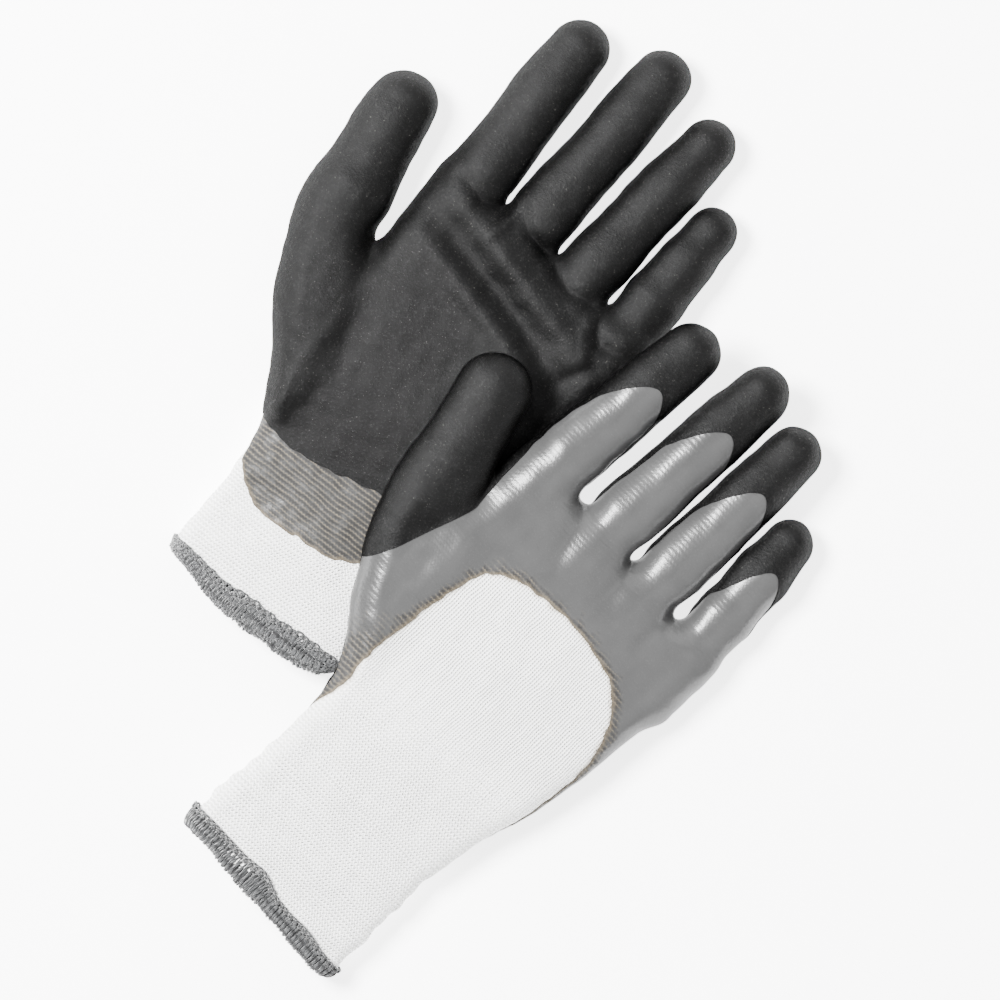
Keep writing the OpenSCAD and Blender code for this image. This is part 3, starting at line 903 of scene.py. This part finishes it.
def hem(side, material):
    """The overlocked edge: a soft core wound with crossing yarns, a looped chain above, and loose fibres."""
    g = GLOVES[side]
    tall = g["hem"]
    fluffy = side == "left"
    count = 900
    base, out = cuff_ring(side, 0.0, count)
    length = arc_length(base, 1, count)
    total = length[-1] + np.linalg.norm(base[0] - base[-1])
    rng = np.random.RandomState(5 if fluffy else 8)
    verts, faces, twist, start = [], [], [], 0

    def at(v, y, off):
        """A point at arc length v, height y and offset from the knit."""
        v = np.mod(v, total)
        stops = np.append(length, total)
        p, n = (np.stack([np.interp(v, stops, np.append(c, c[0])) for c in values.T], 1)
                for values in (base, out))
        n[:, 1] = 0
        n /= np.linalg.norm(n, axis=1)[:, None]
        t = v / total * 2 * math.pi
        high = np.interp(p[:, 0], *HEM[side][0]) + 0.3 * np.sin(7 * t + 2.5)
        low = np.interp(p[:, 0], *HEM[side][1]) + 0.35 * np.sin(5 * t + 1) + 0.2 * np.sin(13 * t)
        pull = 1.3 * np.clip(-y / tall, 0, 1.2) * np.abs(p[:, 0] / 34) ** 3
        return p + n * (off - pull)[:, None] + np.stack([0 * v, high + (high - low) * y / tall, 0 * v], 1)

    def add(v, f, w):
        """Adds vertices, their faces and their place round the yarn."""
        nonlocal start
        verts.append(v)
        faces.append(f + start)
        twist.append(w)
        start += len(v)

    def uneven(t, turns):
        """Seeded unevenness, with one value for each turn."""
        return np.interp(t * turns, np.arange(turns), rng.normal(size=turns), period=turns)

    def add_tube(path, radius, sides, along_yarn):
        v, f, w = tube(path, radius, sides)
        add(v, f, w + np.repeat(along_yarn, sides))

    middle = -0.62  # of the hem's section, from the reference face
    deep = 1.25 if fluffy else 1.35  # half its thickness
    # the core
    sections, rows = 260, 22
    v = np.repeat(np.linspace(0, total, sections, endpoint=False), rows)
    a = np.tile(2 * math.pi * np.arange(rows) / rows, sections)
    lump = 1 + 0.07 * np.sin(v * 2.1) * np.sin(a * 3)
    power = 0.75
    cy = -tall / 2 + (tall / 2 - 0.5) * np.sign(np.cos(a)) * np.abs(np.cos(a)) ** power * lump
    off = middle + deep * 0.9 * np.sign(np.sin(a)) * np.abs(np.sin(a)) ** power * lump
    add(at(v, cy, off), ring_faces(sections, rows), v * 0.6)
    # the windings: which way each leads, its pitch and its yarn's radius
    plain = ((1, 1.55, 0.42), (-1, 1.75, 0.36))
    loose = ((1, 1.35, 0.40), (-1, 1.5, 0.38), (1, 2.3, 0.34))
    for lead, gap, thick in loose if fluffy else plain:
        turns = int(round(total / gap))
        per = 18
        n = turns * per
        t = np.arange(n) / n
        a = 2 * math.pi * turns * t
        near = uneven(t, turns)
        v = lead * t * total + 0.32 * near * gap * 0.5 + 0.35 * gap * np.sin(a)
        grow = (0.62 if fluffy else 0.5) + 0.12 * uneven(t, turns)
        cy = -tall / 2 + (tall / 2 - 0.3 + 0.35 * near * (1 if fluffy else 0.6)) * np.cos(a)
        off = middle + (deep + grow - 0.45) * np.sin(a)
        add_tube(at(v, cy, off), thick * (1 + 0.12 * np.sin(a * 2.3 + 1)), 6, t * turns * 7)
    # the looped chain along the upper edge, outside
    turns = int(round(total / 2.1))
    per = 16
    n = turns * per
    t = np.arange(n) / n
    a = 2 * math.pi * turns * t
    v = t * total + 0.9 * np.sin(a)
    cy = 0.1 + 0.75 * np.cos(a) + (0.3 * np.sin(a * 0.37) if fluffy else 0)
    off = 0.75 + 0.22 * np.sin(2 * a)
    add_tube(at(v, cy, off), 0.36, 6, t * turns * 6)
    if fluffy:
        # terry loops standing out of the band
        for row in range(5):
            turns = int(round(total / (1.9 + 0.13 * row)))
            n = turns * 12
            t = np.arange(n) / n
            a = 2 * math.pi * turns * t
            near = uneven(t, turns)
            v = t * total + 0.8 * np.sin(a) + row
            cy = -1.2 - row * (tall - 2.4) / 4 + 0.55 * np.cos(a * 0.5 + row) + 0.35 * near
            off = 0.55 + 0.42 * np.cos(a) + 0.15 * near
            add_tube(at(v, cy, np.minimum(off, 1.05)), 0.33, 5, t * turns * 6)
    # loose fibres, three-sided and pointed
    links = np.array([[i * 3 + j, i * 3 + (j + 1) % 3, i * 3 + 3 + (j + 1) % 3, i * 3 + 3 + j]
                      for i in range(3) for j in range(3)])
    for _ in range(900 if fluffy else 420):
        v0 = rng.uniform(0, total)
        y0 = rng.uniform(-tall + 0.3, 0.4)
        reach = rng.uniform(0.5, 1.3)
        s = np.linspace(0, 1, 4)
        lean = rng.normal(size=2)
        v = v0 + lean[0] * s * reach
        cy = y0 + lean[1] * s * reach * 0.8
        off = 0.5 + 0.75 * reach * s * (1.3 - s)
        p = at(v, cy, off)
        d = np.array([0.035, 0.035, 0.03, 0.012])
        q = p + np.stack([0 * d, d, d], 1)
        w = p + np.stack([d, -d, -d], 1)
        r = p + np.stack([-d, -d, d], 1)
        add(np.stack([q, w, r], 1).reshape(-1, 3), links, np.zeros(12))
    p = np.concatenate(verts)
    o = make(side + "_hem_yarn", side, p, np.concatenate(faces), material, lay=p, twist=np.concatenate(twist))
    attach(o, side + "_hand")
    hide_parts(side + "_cuff_hem")


def cuff(side, material):
    """The ribbed cuff, with its courses as real ridges that fade into the hand."""
    ys = np.arange(-1.5 if side == "left" else 1.2, CUFF_END + 0.01, 0.3)
    ys[-1] = CUFF_END
    count = 300
    p, _ = cuff_ring(side, ys, count)
    v = arc_length(p, len(ys), count)
    y = p[:, 1]
    bend = 0.5 * noise(p[:, 0], y * 0.3, p[:, 2], 22.0, 61) + 0.25 * noise(p[:, 0], y, p[:, 2], 7.0, 62)
    ridge = 0.5 + 0.5 * np.sin(2 * math.pi * (y + bend) / 1.42)
    fade = ramp(CUFF_END, CUFF_END - 8, y)
    swell = 0.10 * noise(v * 0.4, y, 0 * y, 8.0, 64)
    outer = np.minimum((0.19 * (ridge - 0.75) + swell * 0.6) * fade, 0.06)
    verts, faces = band(side, ys, count, outer, -0.48)
    lay = np.concatenate([p, p])
    o = make(side + "_cuff_knit", side, verts, faces, material, lay=lay, edge=np.full(len(lay), -30.0))
    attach(o, side + "_hand")
    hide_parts(side + "_cuff")


def elastic(side, material):
    """Seven covered elastic yarns inside the cuff's wall."""
    count = 240
    verts, faces, lays, twist, start = [], [], [], [], 0
    for i in range(7):
        y0 = 4 + i * (CUFF_END - 9) / 6
        ys = np.linspace(y0, y0 + 1, 5)
        p, _ = cuff_ring(side, ys, count)
        v = arc_length(p, 5, count)
        crown = 0.05 * np.sin(math.pi * np.repeat(np.arange(5) / 4, count))
        v3, f3 = band(side, ys, count, -0.6 + crown, -0.88 - crown * 0.3)
        verts.append(v3)
        faces.append(f3 + start)
        lays.append(np.concatenate([p, p]))
        twist.append(np.concatenate([v, v]) * 0.9)
        start += len(v3)
    o = make(side + "_elastic_yarn", side, np.concatenate(verts), np.concatenate(faces), material,
             lay=np.concatenate(lays), twist=np.concatenate(twist))
    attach(o, side + "_hand")
    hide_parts(side + "_cuff_elastic")


# ---- one glove
def layer(side, name, whole, offsets, level, material, node):
    """Cuts one layer into the hand and its five digits, thickens each, and hangs the hand on its body."""
    g = GLOVES[side]
    sheet = whole
    if level is not None:
        sheet = whole.clip(whole.values[level])
    x, y = sheet.values["p"][:, 0], sheet.values["p"][:, 1]
    s, _ = digit_place(g["digits"]["thumb"], x, y)
    on_thumb = sheet.values["on_thumb"] > 0.5
    sheet.values["thumb"] = np.where(on_thumb, s + THUMB_BACK, -5.0)
    sheet.values["finger"] = np.where(on_thumb, -5.0, y - g["split"])
    hand = sheet.clip(-sheet.values["thumb"])
    hand = hand.clip(-hand.values["finger"])
    start = {"liner": CUFF_END, "lining": -1.5 if side == "left" else 1.0}.get(name, 8)
    hand = hand.clip(hand.values["p"][:, 1] - start)
    parts = {"hand": hand}
    parts["thumb"] = sheet.clip(sheet.values["thumb"])
    fingers = sheet.clip(sheet.values["finger"])
    for i, digit in enumerate(NAMES[1:]):
        mine = fingers.values["who"][fingers.tris].mean(1).round() == i
        parts[digit] = Sheet(fingers.tris[mine], **fingers.values).tidy()
    for part, piece in parts.items():
        outer, inner = offsets
        if level is not None:
            inside_by = np.maximum(piece.values[level], 0)
            outer = inner + (outer - inner) * (0.25 + 0.75 * ramp(0, 1.8, inside_by))
        verts, faces, normals = shell(piece, outer, inner)
        two = {"lay": np.concatenate([piece.values["p"]] * 2)}
        two["edge"] = np.concatenate([piece.values["base"]] * 2)
        if name == "base":
            two["thin"] = np.concatenate([piece.values["thin"]] * 2)
        o = make(f"{side}_{part}_{name}_skin", side, verts, faces, material, normals, **two)
        if part == "hand":
            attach(o, side + "_hand")
        else:
            root, way, _, _, _ = digit_axis(g["digits"][part])
            if part == "thumb":
                a, b = root - way * THUMB_BACK, root + way * (BEND - THUMB_BACK)
            else:
                a = np.array([root[0], g["split"]])
                b = root + way * 12
            high = REST + 9
            ends = to_row(side, np.array([[a[0], a[1], high], [b[0], b[1], high]]))
            if part != "thumb":
                ends[1] = ends[0] + PLACE[side][0][:, 1] * (BEND * MM)
            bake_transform(o)
        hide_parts(f"{side}_{part}_{node}")


def glove(side, stuff):
    """Every piece of one glove."""
    g = GLOVES[side]
    for grid in (GRID, LINING_GRID):
        p, n, tris = skin(side, grid)
        base, grip, thin = film_edges(side, p, n)
        s, u = digit_place(g["digits"]["thumb"], p[:, 0], p[:, 1])
        limit, wide = (-42, 15) if side == "left" else (-44.4, 13)
        on_thumb = ((p[:, 0] < limit) & (s > -9) & (np.abs(u) < wide)) * 1.0
        fingers = [g["digits"][k] for k in NAMES[1:]]
        who = np.argmin(np.stack([np.abs(digit_place(d, p[:, 0], p[:, 1])[1]) for d in fingers]), 0) * 1.0
        whole = Sheet(tris, p=p, n=n, base=base, grip=grip, thin=thin, on_thumb=on_thumb, who=who)
        layers = LAYERS if grid == GRID else LINING_LAYER
        for name, offsets, level, slot, node in layers:
            layer(side, name, whole, offsets, level, stuff[slot], node)
    cuff(side, stuff["white_knit"])
    elastic(side, stuff["elastic_yarn"])
    hem(side, stuff["hem_yarn"])


PLACE = {side: glove_matrix(side) for side in GLOVES}
STUFF = {
    "white_knit": white_knit(),
    "grey_nitrile": grey_nitrile(),
    "black_nitrile": black_nitrile(),
    "grey_lining": grey_lining(),
    "hem_yarn": yarn("hem_yarn", colour(15, 15, 16), colour(66, 67, 68)),
    "elastic_yarn": yarn("elastic_yarn", colour(196, 192, 182), colour(238, 236, 230)),
}
for which in GLOVES:
    glove(which, STUFF)


# ---- floor, light and camera
UP = Vector((-0.669, 0.743, 0))  # the photograph's upward way
RIGHT = Vector((0.743, 0.669, 0))
FAR = 3.0  # metres from the camera to the table
WIDTH = 0.314  # metres of the table that the picture spans
AIM = (0.0, 0.0, 0.01)


def floor():
    """A plain pale table top."""
    size, z = 3.0, -0.0004
    me = bpy.data.meshes.new("floor")
    me.from_pydata([(-size, -size, z), (size, -size, z), (size, size, z), (-size, size, z)], [], [(0, 1, 2, 3)])
    me.materials.append(floor_material())
    o = bpy.data.objects.new("floor", me)
    bpy.context.scene.collection.objects.link(o)


def area(name, up, right, high, size, watts):
    """A soft light, placed by the photograph's upward and rightward ways."""
    light = bpy.data.lights.new(name, "AREA")
    light.shape = "RECTANGLE"
    light.size, light.size_y = size
    light.energy = watts
    o = bpy.data.objects.new(name, light)
    at = tuple(UP * up + RIGHT * right + Vector((0, 0, high)))
    o.location = at
    o.rotation_mode = "QUATERNION"
    o.rotation_quaternion = (Vector(AIM) - Vector(at)).to_track_quat("-Z", "Y")
    bpy.context.scene.collection.objects.link(o)


def camera():
    """Straight down on the pair, turned as in the photograph."""
    data = bpy.data.cameras.new("camera")
    data.sensor_width = 36
    data.lens = 36 * FAR / WIDTH
    data.clip_start, data.clip_end = 0.1, 20
    o = bpy.data.objects.new("camera", data)
    o.location = (0.0147, 0.0046, FAR + 0.01)
    o.rotation_euler = (0, 0, math.radians(42))
    bpy.context.scene.collection.objects.link(o)
    bpy.context.scene.camera = o


floor()
camera()
area("key", 0.4, -0.64, 1.18, (0.5, 0.5), 130)
area("fill", -0.7, 0.9, 1.0, (1.8, 1.8), 20)
area("back", 1.1, 0.5, 0.8, (1.8, 1.2), 16)
world = bpy.data.worlds.new("world")
world.use_nodes = True
world.node_tree.nodes["Background"].inputs[0].default_value = (1, 1, 1, 1)
world.node_tree.nodes["Background"].inputs[1].default_value = 0.45
bpy.context.scene.world = world

bpy.context.view_layer.update()
